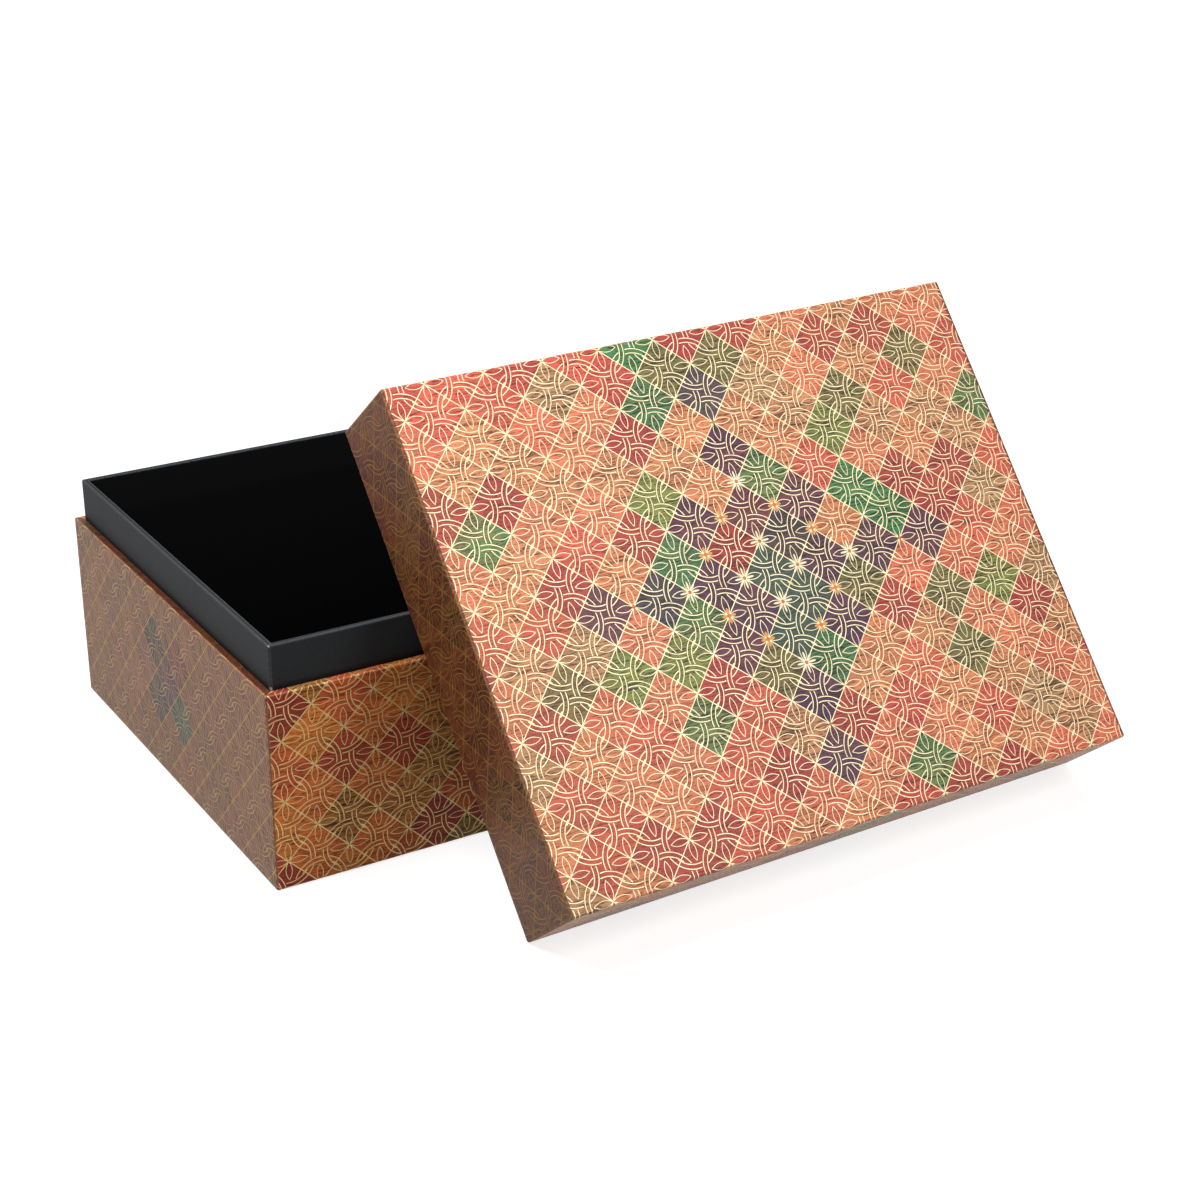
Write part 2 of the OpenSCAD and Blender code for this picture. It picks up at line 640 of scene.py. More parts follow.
@dataclass
class FaceSet:
    """Points and the faces on them, as flat arrays."""

    points: Array
    loops: Array
    counts: Array

    def build(self, name: str, sheet: Array, marks: Array, turned: bool) -> bpy.types.Object:
        """Makes a mesh object, with points that share a place joined.

        Args:
            name: The piece's name.
            sheet: Flat coordinates of each point, kept on the face corners.
            marks: Fold mark of each point.
            turned: Whether each face's order is reversed.

        Returns:
            The new object.
        """
        loops = self.loops
        ends = np.cumsum(self.counts)
        if turned:
            order = np.arange(len(loops))
            first = np.repeat(ends - self.counts, self.counts)
            last = np.repeat(ends - 1, self.counts)
            loops = loops[first + last - order]
        places = np.round(self.points / JOIN_STEP).astype(np.int64)
        _, keep, joined = np.unique(places, axis=0, return_index=True, return_inverse=True)
        joined = joined.reshape(-1)
        data = bpy.data.meshes.new(name)
        data.vertices.add(len(keep))
        data.vertices.foreach_set("co", self.points[keep].ravel().astype(np.float32))
        data.loops.add(len(loops))
        data.loops.foreach_set("vertex_index", joined[loops].astype(np.int32))
        data.polygons.add(len(self.counts))
        data.polygons.foreach_set("loop_start", (ends - self.counts).astype(np.int32))
        data.polygons.foreach_set("use_smooth", np.ones(len(self.counts), bool))
        layer = data.uv_layers.new(name="sheet")
        layer.data.foreach_set("uv", sheet[loops].ravel().astype(np.float32))
        edge = data.attributes.new("fold", "FLOAT", "POINT")
        edge.data.foreach_set("value", marks[keep].astype(np.float32))
        data.update(calc_edges=True)
        data.validate()
        return put(name, data)


def dress(piece: bpy.types.Object, material: bpy.types.Material, slot: Slot, *nodes: str) -> None:
    """Gives a new piece its material, hangs it under the body and hides the nodes it stands for.

    Args:
        piece: The object.
        material: Its material.
        slot: The record's finish; not used.
        nodes: The CAD nodes that it stands for.
    """
    piece.data.materials.append(material)
    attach(piece, BODY)
    if nodes:
        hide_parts(*nodes)
    LOG.info("%s: %d faces, %s", piece.name, len(piece.data.polygons), material.name)


@dataclass(frozen=True)
class Lattice:
    """The plan of the print: squares on point, with linked rings about their corners.

    Square (i, j) has its middle at ((i - j) half, (i + j) half), where half is half a diagonal.
    Its right corner, where a ring has its middle, is one half further along.
    """

    half: float = 12.0 * MM
    ring_r: float = 9.6 * MM
    strap: float = 1.7 * MM
    under_gap: float = 0.35 * MM
    step: float = 0.3 * MM

    def middles(self, reach_x: float, reach_y: float) -> Array:
        """The middles of the squares within a reach of the sheet's middle.

        Args:
            reach_x: Half the field's length.
            reach_y: Half its width.

        Returns:
            Their flat coordinates.
        """
        most = int((reach_x + reach_y) / self.half) + 2
        i, j = np.meshgrid(np.arange(-most, most + 1), np.arange(-most, most + 1))
        middles = np.stack([(i - j).ravel(), (i + j).ravel()], axis=1) * self.half
        return middles[(np.abs(middles) <= (reach_x, reach_y)).all(axis=1)]

    def ring_paths(self, radius: float) -> list[Array]:
        """One edge of a ring's strap, broken where the ring passes under its neighbours.

        Counted round the ring, it goes over and under in turn: after the direction of each
        neighbour it lies on top, and before it the neighbour's strap covers it.

        Args:
            radius: The radius of this edge of the strap.

        Returns:
            The visible arcs about the ring's middle.
        """
        count = int(2 * math.pi * radius / self.step)
        turn = np.arange(count) / count * 2 * math.pi
        points = radius * np.stack([np.cos(turn), np.sin(turn)], axis=1)
        quarter = np.round((turn - math.pi / 4) / QUARTER)
        towards = quarter * QUARTER + math.pi / 4
        spacing = self.half * math.sqrt(2.0)
        middle = spacing * np.stack([np.cos(towards), np.sin(towards)], axis=1)
        away = np.linalg.norm(points - middle, axis=1)
        covered = np.abs(away - self.ring_r) < self.strap / 2 + self.under_gap
        hidden = covered & (turn - towards < 0)
        first = int(np.argmax(hidden))
        turned = np.roll(hidden, -first)
        points = np.roll(points, -first, axis=0)
        changes = np.flatnonzero(np.diff(turned.astype(int)) != 0) + 1
        pieces = np.split(np.arange(count), changes)
        return [points[part] for part in pieces if not turned[part[0]]]

    def side_paths(self) -> list[Array]:
        """The two upper sides of a square, as lines about its middle.

        Returns:
            One line a side.
        """
        top = np.array([0.0, self.half])
        count = int(self.half * math.sqrt(2.0) / self.step)
        share = np.linspace(0.0, 1.0, count)[:, None]
        ends = [np.array([self.half, 0.0]), np.array([-self.half, 0.0])]
        return [end * (1.0 - share) + top * share for end in ends]

    def leaf_paths(self, reach: float, belly: float) -> list[Array]:
        """Four pointed leaves about a corner, along the sheet and across it.

        Each side of a leaf is x = reach t, y = 4 belly t (1 - t), for t from 0 to 1.

        Args:
            reach: The leaf's length.
            belly: Half its greatest width.

        Returns:
            One line a leaf's side.
        """
        t = np.linspace(0.0, 1.0, int(reach / self.step))
        bow = 4.0 * belly * t * (1.0 - t)
        sides = []
        for turn in np.arange(4) * QUARTER:
            along = np.array([math.cos(turn), math.sin(turn)])
            beside = np.array([-math.sin(turn), math.cos(turn)])
            for hand in (-1.0, 1.0):
                sides.append(reach * t[:, None] * along + hand * bow[:, None] * beside)
        return sides


@dataclass
class GoldLines:
    """Thin lines laid on a skin, gathered to one mesh.

    Off the folds, only one point in each stride of a path is kept.
    """

    skin: Skin
    last_way: float
    stride: int = 4
    points: list[Array] = field(default_factory=list)
    sheets: list[Array] = field(default_factory=list)
    quads: list[Array] = field(default_factory=list)
    total: int = 0

    def draw(self, middles: Array, paths: Sequence[Array], width: float, lift: float) -> None:
        """Draws the same paths about every middle, as ribbons.

        Args:
            middles: Where the paths are repeated.
            paths: Lines about a middle, in flat coordinates.
            width: The ribbon's width.
            lift: Its height over the paper.
        """
        for path in paths:
            tangent = np.gradient(path, axis=0)
            tangent /= np.linalg.norm(tangent, axis=1)[:, None]
            beside = np.stack([-tangent[:, 1], tangent[:, 0]], axis=1) * width / 2
            places = middles[:, None, :] + path[None, :, :]
            keep = self.skin.near_fold(places)
            keep[:, ::self.stride] = True
            keep[:, -1] = True
            owner = np.broadcast_to(np.arange(len(middles))[:, None], keep.shape)[keep]
            edges = np.concatenate([(places + beside)[keep], (places - beside)[keep]])
            laid, walls = self.skin.lay(edges, lift, self.last_way)
            self.join(walls.reshape(2, -1), owner)
            self.points.append(laid)
            self.sheets.append(edges)
            self.total += len(laid)

    def join(self, walls: Array, owner: Array) -> None:
        """Adds a ribbon's faces where both its edges lie on one wall or cross one fold.

        Args:
            walls: The wall of each point of the left edge, and of the right one.
            owner: Which line each pair of points belongs to.
        """
        corners = np.concatenate([walls[:, :-1], walls[:, 1:]])
        lowest = corners.min(axis=0)
        one_wall = (np.where(corners == FLAT_PANEL, lowest, corners) == lowest).all(axis=0)
        good = one_wall & (lowest != OFF_SHEET) & (owner[:-1] == owner[1:])
        left = self.total + np.arange(len(owner))
        right = left + len(owner)
        self.quads.append(np.stack([left[:-1], right[:-1], right[1:], left[1:]], axis=1)[good])

    def build(self, name: str) -> bpy.types.Object:
        """Makes the gathered ribbons one mesh, without points that no face uses.

        Args:
            name: The piece's name.

        Returns:
            The new object.
        """
        loops = np.concatenate(self.quads).ravel()
        used, inverse = np.unique(loops, return_inverse=True)
        points = np.concatenate(self.points)[used]
        faces = FaceSet(points, inverse.reshape(-1), np.full(len(loops) // 4, 4))
        sheet = np.concatenate(self.sheets)[used]
        return faces.build(name, sheet, np.zeros(len(points)), self.skin.upside_down)


@dataclass
class Rosettes:
    """Small pointed stars and dots laid flat on the panel of a skin."""

    skin: Skin
    lift: float
    point_steps: int = 12
    dot_steps: int = 14

    def build(
        self, name: str, middles: Array, radius: float, points: int, depth: float
    ) -> bpy.types.Object:
        """Makes one flat face a star: r = radius (1 - depth + depth |cos(points a / 2)| cubed).

        Args:
            name: The piece's name.
            middles: Where the stars stand, in flat coordinates.
            radius: Out to a point's tip.
            points: How many points; 0 makes a dot.
            depth: How far the notches cut in, as a share of the radius.

        Returns:
            The new object.
        """
        count = points * self.point_steps or self.dot_steps
        turn = np.arange(count) / count * 2 * math.pi
        reach = radius * (1.0 - depth + depth * np.abs(np.cos(turn * points / 2.0)) ** 3)
        outline = reach[:, None] * np.stack([np.cos(turn), np.sin(turn)], axis=1)
        places = (middles[:, None, :] + outline[None, :, :]).reshape(-1, 2)
        laid, _ = self.skin.lay(places, self.lift, 0.0)
        faces = FaceSet(laid, np.arange(len(laid)), np.full(len(middles), count))
        return faces.build(name, places, np.zeros(len(laid)), self.skin.upside_down)


@dataclass(frozen=True)
class Grain:
    """Wood grain along a sheet's length.

    The first four pairs are cycles to a metre, along and across. A share's two numbers are that of
    fine grain and what coarse grain adds.
    """

    clouds: tuple[float, float] = (60.0, 110.0)
    bands: tuple[float, float] = (45.0, 330.0)
    figure: tuple[float, float] = (90.0, 1500.0)
    pores: tuple[float, float] = (260.0, 2300.0)
    octaves: float = 2.5
    finer: float = 0.6
    band_span: tuple[float, float] = (0.38, 0.56)
    figure_span: tuple[float, float] = (0.5, 0.58)
    pore_span: tuple[float, float] = (0.54, 0.6)
    streak_share: tuple[float, float] = (0.45, 0.4)
    pore_share: tuple[float, float] = (0.6, 0.25)
    level: float = 1.05
    cloud_swing: float = 0.75
    figure_swing: float = 0.4
    dark: str = "#5a4636"

    def over(
        self, bench: Bench, wood: Signal, coarse: Signal, u: Signal, v: Signal, lot: Signal
    ) -> Signal:
        """Draws the grain over a colour.

        Args:
            bench: The material's bench.
            wood: The colour under the grain.
            coarse: How coarse the grain is, from 0 to 1.
            u: The way along the sheet.
            v: The way across it.
            lot: A number that no two sheets of veneer share.

        Returns:
            The grained colour.
        """
        layers = (self.clouds, self.bands, self.figure, self.pores)
        places = [bench.vector(u * along, v * across, lot) for along, across in layers]
        cloud, band, figure, pores = (
            bench.noise(place, 1.0, self.octaves, self.finer) for place in places
        )
        streak_share = self.streak_share[0] + coarse * self.streak_share[1]
        pore_share = self.pore_share[0] + coarse * self.pore_share[1]
        streaks = figure.ramp_between(*self.figure_span) * band.ramp_between(*self.band_span)
        dashes = pores.ramp_between(*self.pore_span)
        dark = (streaks * streak_share + dashes * pore_share).clamped()
        light = self.level + cloud.swing(self.cloud_swing) + figure.swing(self.figure_swing)
        return bench.blend(dark, bench.shade(wood, light), solid(self.dark), "MULTIPLY")


@dataclass(frozen=True)
class Palette:
    """The print's colours: plain ones from deep red through orange to olive, then the star's."""

    plain: tuple[str, ...]
    # Partly the print and partly painted shade: one plain brown over the short walls
    short_wall: str
    core: tuple[str, ...] = ("#2c3340", "#4c2747", "#a52f30", "#275048", "#6a2c3c", "#2a2c3a")
    tips: tuple[str, ...] = ("#4f2a4c", "#33384a", "#5a2a44")
    green: tuple[str, ...] = ("#3c7c46", "#7c8a40", "#2f7448", "#737040", "#5a8048")


LID_PALETTE = Palette(
    plain=(
        "#b03c3a", "#cc4c44", "#d95c4a", "#e06e52", "#e27e5a", "#df865a",
        "#d4865a", "#c7885e", "#b88a60", "#a8885c", "#9a8852", "#87804a",
    ),
    short_wall="#4a2618",
)
BASE_PALETTE = Palette(
    plain=(
        "#9c322a", "#ba422c", "#d05c30", "#dc7032", "#dc7c34", "#d47c34",
        "#c67832", "#b87430", "#a46c2e", "#906c2c", "#80702e", "#686a32",
    ),
    short_wall="#7e5546",
)


@dataclass(frozen=True)
class StarPlan:
    """Which squares make an eight-pointed star at a sheet's middle, counted in half diagonals."""

    core_reach: float = 2.0
    ring_reach: float = 4.0
    point_reach: float = 6.0
    near_reach: float = 10.0
    near_share: float = 0.2
    between_share: float = 0.75

    def fields(self, across: Signal, up: Signal, chance: Signal) -> tuple[Signal, Signal, Number]:
        """Marks the star's squares, each side of its ring having a tip at its middle and ends.

        Green squares stand between the tips and, here and there, round the star.

        Args:
            across: Half diagonals along the sheet from its middle.
            up: Half diagonals across it.
            chance: A random number for each square.

        Returns:
            The core, the tips and the green squares.
        """
        reach, spread = across + up, abs(across - up)
        on_ring = reach.near(self.ring_reach)
        between = spread.near(self.ring_reach / 2)
        ring_tips = on_ring * (1.0 - between)
        points = reach.near(self.point_reach) * spread.near(self.point_reach)
        greens = on_ring * between * (chance < self.between_share)
        about = (reach < self.near_reach + HALF_STEP) * (chance < self.near_share)
        return reach < self.core_reach + HALF_STEP, (ring_tips + points).clamped(), greens + about


@dataclass(frozen=True)
class CrossPlan:
    """Five squares in a cross in the middle of each short wall."""

    middle: float = 14.0
    arm: float = 1.0

    def fields(self, across: Signal, up: Signal, chance: Signal) -> tuple[Signal, Signal, Number]:
        """Marks the whole cross, its middle square and, whatever the chance, no green squares."""
        off = abs(across - self.middle)
        return (off < self.arm + HALF_STEP) * off.near(up), (off + up) < HALF_STEP, 0.0


@dataclass(frozen=True)
class PrintedVeneer:
    """Satin printed paper that shows a patchwork of wood veneers.

    Neighbours in a row of squares are near each other in the palette's order, and the plan puts
    squares of deep colours in the patchwork. Past wall_x on the sheet, the short walls are
    otherwise one plain brown, partly their print and partly painted shade, and past rim_x they
    are darker still, a painted shade beside the neck.
    """

    name: str
    lattice: Lattice
    palette: Palette
    plan: Union[StarPlan, CrossPlan]
    seed: float
    wall_x: float
    wall_cover: float = 0.9
    row_pitch: tuple[float, float] = (0.21, 0.83)
    row_swing: float = 2.2
    own_swing: float = 0.3
    usual: float = 0.34
    green_share: float = 0.05
    coarse_span: tuple[float, float] = (0.3, 0.7)
    lot_steps: tuple[float, float, float] = (3.7, 5.3, 2.1)
    tone_swing: float = 0.2
    warm: str = "#d98c50"
    warm_share: float = 0.1
    rim_x: float = FAR
    worn_and_highlight: str = "#d08a60"
    worn_and_highlight_share: float = 0.4
    worn_and_highlight_span: tuple[float, float] = (0.25, 0.8)
    speck_pitch: float = 2600.0 / 3
    fibre_pitch: float = 2600.0
    octaves: float = 2.0
    fibre_depth: float = 0.03 * MM
    fibre_shows: float = 0.35
    roughness: float = 0.44
    rough_swing: float = 0.12
    worn_rougher: float = 0.25
    sheen: float = 0.22
    grain: Grain = Grain()

    def make(self) -> bpy.types.Material:
        """Prints the paper.

        Returns:
            The material.
        """
        bench = Bench.material(self.name)
        u, v = bench.sheet_place()
        diagonal = 2 * self.lattice.half
        i = math.floor((u + v) / diagonal + HALF_STEP)
        j = math.floor((v - u) / diagonal + HALF_STEP)
        upper = v > (i + j) * self.lattice.half
        patch, coarse = self.patch_colour(bench, u, i, j)
        tone, warmth, _ = bench.scatter(bench.vector(i, j, upper + self.seed))
        toned = bench.shade(patch, 1.0 + tone.swing(self.tone_swing))
        warmed = bench.blend(warmth * self.warm_share, toned, solid(self.warm))
        step_i, step_j, step_upper = self.lot_steps
        lot = i * step_i + j * step_j + upper * step_upper
        veneer = self.grain.over(bench, warmed, coarse, u, v, lot)
        place = bench.object_place()
        speck = bench.noise(place, self.speck_pitch, self.octaves)
        fibre = bench.noise(place, self.fibre_pitch, self.octaves)
        # Partly wear and partly painted highlight: a paler colour along the folds
        rubbed = bench.fold_mark() * speck.ramp_between(*self.worn_and_highlight_span) * self.worn_and_highlight_share
        printed = bench.blend(rubbed, veneer, solid(self.worn_and_highlight))
        # Painted shade: the base's short rims made darker past rim_x, beside the neck
        printed = bench.blend(abs(u) > self.rim_x, printed, solid(RIM_PAINTED_SHADE), "MULTIPLY")
        roughness = self.roughness + fibre.swing(self.rough_swing) + rubbed * self.worn_rougher
        return bench.surface({
            "Base Color": bench.shade(printed, 1.0 + fibre.swing(self.tone_swing)),
            "Roughness": roughness,
            "Specular IOR Level": self.sheen,
            "Normal": bench.relief(fibre, self.fibre_depth, self.fibre_shows),
        })

    def patch_colour(self, bench: Bench, u: Signal, i: Signal, j: Signal) -> tuple[Signal, Signal]:
        """The veneer of each square.

        Args:
            bench: The material's bench.
            u: The way along the sheet.
            i: The square's first whole number.
            j: Its second.

        Returns:
            The colour, and how coarse its grain is.
        """
        chance, other, third = bench.scatter(bench.vector(i, j, self.seed))
        along, up = self.row_pitch
        rows = bench.vector((i - j) * along, (i + j) * up, self.seed)
        row = bench.noise(rows, scale=1.0, octaves=1.0)
        place = (row.swing(self.row_swing) + self.usual + chance.swing(self.own_swing)).clamped()
        core, tips, greens = self.plan.fields(abs(i - j), abs(i + j), third)
        green = (greens + (third > 1.0 - self.green_share)).clamped()
        colours = self.palette
        plain = bench.pick(place, colours.plain)
        veneer = bench.blend(green, plain, bench.pick(other, colours.green))
        # Partly painted shade: the short walls mostly covered by one plain brown
        on_wall = (abs(u) > self.wall_x) * self.wall_cover
        wall_shaded = bench.blend(on_wall, veneer, solid(colours.short_wall))
        starred = bench.blend(core, wall_shaded, bench.pick(other, colours.core))
        coarse = (place.ramp_between(*self.coarse_span) + green).clamped()
        return bench.blend(tips, starred, bench.pick(chance, colours.tips)), coarse


@dataclass(frozen=True)
class GoldInk:
    """Gold line, a little uneven, and duller on the short walls of a sheet, by painted shade."""

    name: str
    colour: str
    rubbed: str
    metal: float = 0.1
    wall_x: float = FAR
    wall_shade_tint: str = "#ffffff"
    rim_x: float = FAR
    patch_pitch: float = 260.0
    patch_span: tuple[float, float] = (0.45, 0.7)
    patch_share: float = 0.5
    roughness: float = 0.5
    rough_swing: float = 0.2
    sheen: float = 0.3

    def make(self) -> bpy.types.Material:
        """Mixes the gold.

        Returns:
            The material.
        """
        bench = Bench.material(self.name)
        u = bench.sheet_place()[0]
        patchy = bench.noise(bench.object_place(), self.patch_pitch)
        share = patchy.ramp_between(*self.patch_span) * self.patch_share
        tint = bench.blend(share, solid(self.colour), solid(self.rubbed))
        # Painted shade: the lines multiplied duller on the short walls
        wall_shaded = bench.blend(abs(u) > self.wall_x, tint, solid(self.wall_shade_tint), "MULTIPLY")
        return bench.surface({
            # Painted shade on the base's short rims, past rim_x
            "Base Color": bench.blend(abs(u) > self.rim_x, wall_shaded, solid(RIM_PAINTED_SHADE), "MULTIPLY"),
            "Metallic": self.metal,
            "Roughness": self.roughness + patchy.swing(self.rough_swing),
            "Specular IOR Level": self.sheen,
        })


@dataclass(frozen=True)
class BlackPaper:
    """Matt black paper with a fine fibrous grain, paler where a fold is rubbed."""

    name: str
    body: str = "#27292b"
    fleck: str = "#323436"
    fleck_share: float = 0.6
    fleck_span: tuple[float, float] = (0.4, 0.75)
    crease: str = "#50575b"
    crease_share: float = 0.7
    crease_span: tuple[float, float] = (0.2, 0.7)
    deep: str = "#030303"
    inside_shade_share: float = 0.93
    foot_shade_reach: float = 3.0 * MM
    foot_shade_share: float = 0.8
    rubbed: str = "#d2cec4"
    rub_span: tuple[float, float] = (0.35, 0.6)
    rub_reach: tuple[float, float] = (0.4 * MM, 1.1 * MM)
    fibre_pitch: float = 1500.0
    fibre_octaves: float = 4.0
    fibre_finer: float = 0.65
    fibre_depth: float = 0.06 * MM
    fibre_shows: float = 0.5
    cloud_pitch: float = 60.0
    cloud_octaves: float = 2.0
    swing: float = 0.2
    roughness: float = 0.62
    sheen: float = 0.12

    def make(
        self,
        rubs: Sequence[Place] = (),
        inside: tuple[float, float] = (0.0, 0.0),
        foot: float = -FAR,
    ) -> bpy.types.Material:
        """Dyes the paper.

        Args:
            rubs: Places where the black is rubbed through.
            inside: Half sizes of the plan within which painted shade makes the paper deep black.
            foot: The height down to which painted shade makes the outside darker.

        Returns:
            The material.
        """
        bench = Bench.material(self.name)
        place = bench.object_place()
        x, y, z = bench.parts(place)
        # Painted shade: the paper made nearly black inside the neck's walls
        within = (abs(x) < inside[0]) * (abs(y) < inside[1])
        fibre = bench.noise(place, self.fibre_pitch, self.fibre_octaves, self.fibre_finer)
        cloud = bench.noise(place, self.cloud_pitch, self.cloud_octaves)
        flecks = fibre.ramp_between(*self.fleck_span) * self.fleck_share
        ground = bench.blend(flecks, solid(self.body), solid(self.fleck))
        ground = bench.shade(ground, 1.0 + cloud.swing(self.swing))
        ground = bench.blend(within * self.inside_shade_share, ground, solid(self.deep))
        # Painted shade: darker towards the neck's foot
        low = (1.0 - z.ramp_between(foot, foot + self.foot_shade_reach)) * self.foot_shade_share
        ground = bench.blend(low, ground, solid(self.deep))
        creased = bench.fold_mark() * fibre.ramp_between(*self.crease_span) * self.crease_share
        ground = bench.blend(creased, ground, solid(self.crease))
        for spot in rubs:
            away = bench.take("VectorMath", {"operation": "DISTANCE"}, {0: place, 1: spot}, "Value")
            near = 1.0 - away.ramp_between(*self.rub_reach)
            bare = near * fibre.ramp_between(*self.rub_span)
            ground = bench.blend(bare, ground, solid(self.rubbed))
        return bench.surface({
            "Base Color": ground,
            "Roughness": self.roughness + fibre.swing(self.swing),
            "Specular IOR Level": self.sheen,
            "Normal": bench.relief(fibre, self.fibre_depth, self.fibre_shows),
        })


@dataclass(frozen=True)
class GreyBoard:
    """Raw board, grey with pale and dark fibres."""

    name: str = "grey_board"
    dark: str = "#86827a"
    pale: str = "#a8a49b"
    pale_span: tuple[float, float] = (0.3, 0.7)
    fibre_pitch: float = 900.0
    fibre_octaves: float = 4.0
    fibre_finer: float = 0.7
    fibre_depth: float = 0.08 * MM
    fibre_shows: float = 0.5
    roughness: float = 0.88

    def make(self) -> bpy.types.Material:
        """Presses the board.

        Returns:
            The material.
        """
        bench = Bench.material(self.name)
        place = bench.object_place()
        fibre = bench.noise(place, self.fibre_pitch, self.fibre_octaves, self.fibre_finer)
        tint = bench.blend(fibre.ramp_between(*self.pale_span), solid(self.dark), solid(self.pale))
        return bench.surface({
            "Base Color": tint,
            "Roughness": self.roughness,
            "Normal": bench.relief(fibre, self.fibre_depth, self.fibre_shows),
        })


@dataclass(frozen=True)
class BoxSizes:
    """The driving dimensions of the box, as its solids have them, and those of the skins' folds."""

    length: float = 250.0 * MM
    width: float = 195.0 * MM
    base_h: float = 78.0 * MM
    neck_rise: float = 17.0 * MM
    lid_h: float = 38.5 * MM
    paper: float = 0.25 * MM
    base_board: float = 2.9 * MM
    neck_board: float = 2.0 * MM
    fit_gap: float = 0.3 * MM
    turn_in: float = 15.0 * MM
    corner_r: float = 0.9 * MM
    fold_r: float = 0.7 * MM
    inner_fold_r: float = 0.2 * MM
    clear: float = 0.05 * MM
    skin_inset: float = 0.06 * MM
    lid_aside: float = 60.0 * MM
    lid_out: float = 76.0 * MM
    lid_yaw: float = math.radians(1.6)
    touch_gap: float = 0.05 * MM

    @property
    def turned(self) -> float:
        """Flat width of an edge that is turned over."""
        return self.turn_in - self.fold_r

    @property
    def wrap_plan(self) -> tuple[float, float]:
        """Length and width of a wrap's outer face."""
        return self.length - 2 * self.skin_inset, self.width - 2 * self.skin_inset

    @property
    def ledge(self) -> float:
        """Width of the rim round the neck."""
        return self.base_board + 2 * self.paper

    @property
    def lid_wall(self) -> float:
        """Thickness of the lid's wall."""
        return self.ledge - self.fit_gap

    @property
    def neck_top(self) -> float:
        """Height of the neck's top edge."""
        return self.base_h + self.neck_rise

    @property
    def floor_level(self) -> float:
        """Height of the board floor inside."""
        return 2 * self.paper + self.base_board

    def lid_pose(self) -> Pose:
        """Where the lid leans, with its rim's lower edge down and its left wall on the neck.

        Returns:
            The lid's place.
        """
        corner = np.array([self.lid_aside - self.length / 2, -self.width / 2 - self.lid_out, 0.0])
        reach = self.ledge - self.width / 2 - corner[1] - self.lid_wall * math.sin(self.lid_yaw)
        lean = math.atan2(self.neck_top + self.touch_gap, reach / math.cos(self.lid_yaw))
        turned = Pose(lean, self.lid_yaw)
        middle = turned.points(np.array([self.length / 2, self.width / 2, 0.0])) + corner
        return Pose(lean, self.lid_yaw, (float(middle[0]), float(middle[1]), float(middle[2])))


@dataclass
class Wrapped:
    """A part wrapped in one printed sheet, with gold lines drawn over the whole of it."""

    sizes: BoxSizes
    lattice: Lattice
    line_w: float = 0.36 * MM
    leaf_w: float = 0.26 * MM
    leaf_reach: float = 7.6 * MM
    leaf_belly: float = 1.25 * MM
    side_lifts: tuple[float, float] = (0.02 * MM, 0.03 * MM)
    ring_lift: float = 0.04 * MM
    leaf_lift: float = 0.05 * MM

    def section(self, margin: float, rise: float, rim: float) -> tuple[Run, ...]:
        """The margin, the wall, the rim and the turned edge, with a fold between each two."""
        outer, inner = fold(self.sizes.fold_r), fold(self.sizes.inner_fold_r)
        return Run(margin), outer, Run(rise), outer, Run(rim), inner, Run(self.sizes.turned)

    def cover(self, part: str, skin: Skin, veneer: PrintedVeneer, gold: GoldInk) -> None:
        """Builds the sheet and its lines.

        Args:
            part: What the names of both pieces start with.
            skin: The folded sheet.
            veneer: Its print.
            gold: The ink of the lines.
        """
        dress(skin.mesh(f"{part}_wrap_paper"), veneer.make(), Slot.PRINTED, f"{part}_wrap")
        dress(self.lines(f"{part}_gold_lines", skin), gold.make(), Slot.PRINTED)

    def lines(self, name: str, skin: Skin) -> bpy.types.Object:
        """Draws the lattice, the linked rings and the leaves over a whole skin.

        Args:
            name: The piece's name.
            skin: The wrapped skin.

        Returns:
            The new object.
        """
        half_x, half_y = skin.panel_half()
        plan = self.lattice
        work = GoldLines(skin, skin.profile.shown)
        reach = work.last_way + plan.half
        middles = plan.middles(half_x + reach, half_y + reach)
        corners = middles + np.array([plan.half, 0.0])
        for edge in (plan.ring_r - plan.strap / 2, plan.ring_r + plan.strap / 2):
            work.draw(corners, plan.ring_paths(edge), self.line_w, self.ring_lift)
        for path, lift in zip(plan.side_paths(), self.side_lifts):
            work.draw(middles, [path], self.line_w, lift)
        leaves = plan.leaf_paths(self.leaf_reach, self.leaf_belly)
        work.draw(corners, leaves, self.leaf_w, self.leaf_lift)
        return work.build(name)


@dataclass
class Base(Wrapped):
    """The base's printed wrap and the gold lines on it."""

    seed: float = 5.0
    metal: float = 0.35

    def skin(self) -> Skin:
        """The wrap's outer face, from under the bottom up the walls, over the rim and down inside.

        Returns:
            The folded sheet.
        """
        s = self.sizes
        rise = s.base_h - s.paper - 2 * s.skin_inset - 2 * s.fold_r
        rim = s.ledge - s.skin_inset - s.fold_r - s.inner_fold_r - s.clear
        profile = Profile(self.section(s.turned, rise, rim), s.turn_in)
        return Skin(*s.wrap_plan, profile, s.paper + s.skin_inset, s.corner_r, upside_down=True)

    def build(self) -> None:
        """Builds the wrap and its lines."""
        skin = self.skin()
        wall_x = skin.panel_half()[0] + self.sizes.turned
        rim_x = skin.panel_half()[0] + skin.profile.rim_start
        veneer = PrintedVeneer(
            "printed_paper_base", self.lattice, BASE_PALETTE, CrossPlan(), self.seed,
            wall_x, rim_x=rim_x,
        )
        gold = GoldInk(
            "gold_lines_base", "#e8ca8a", "#d2aa64", self.metal, wall_x, "#d8c8b4", rim_x
        )
        self.cover("base", skin, veneer, gold)


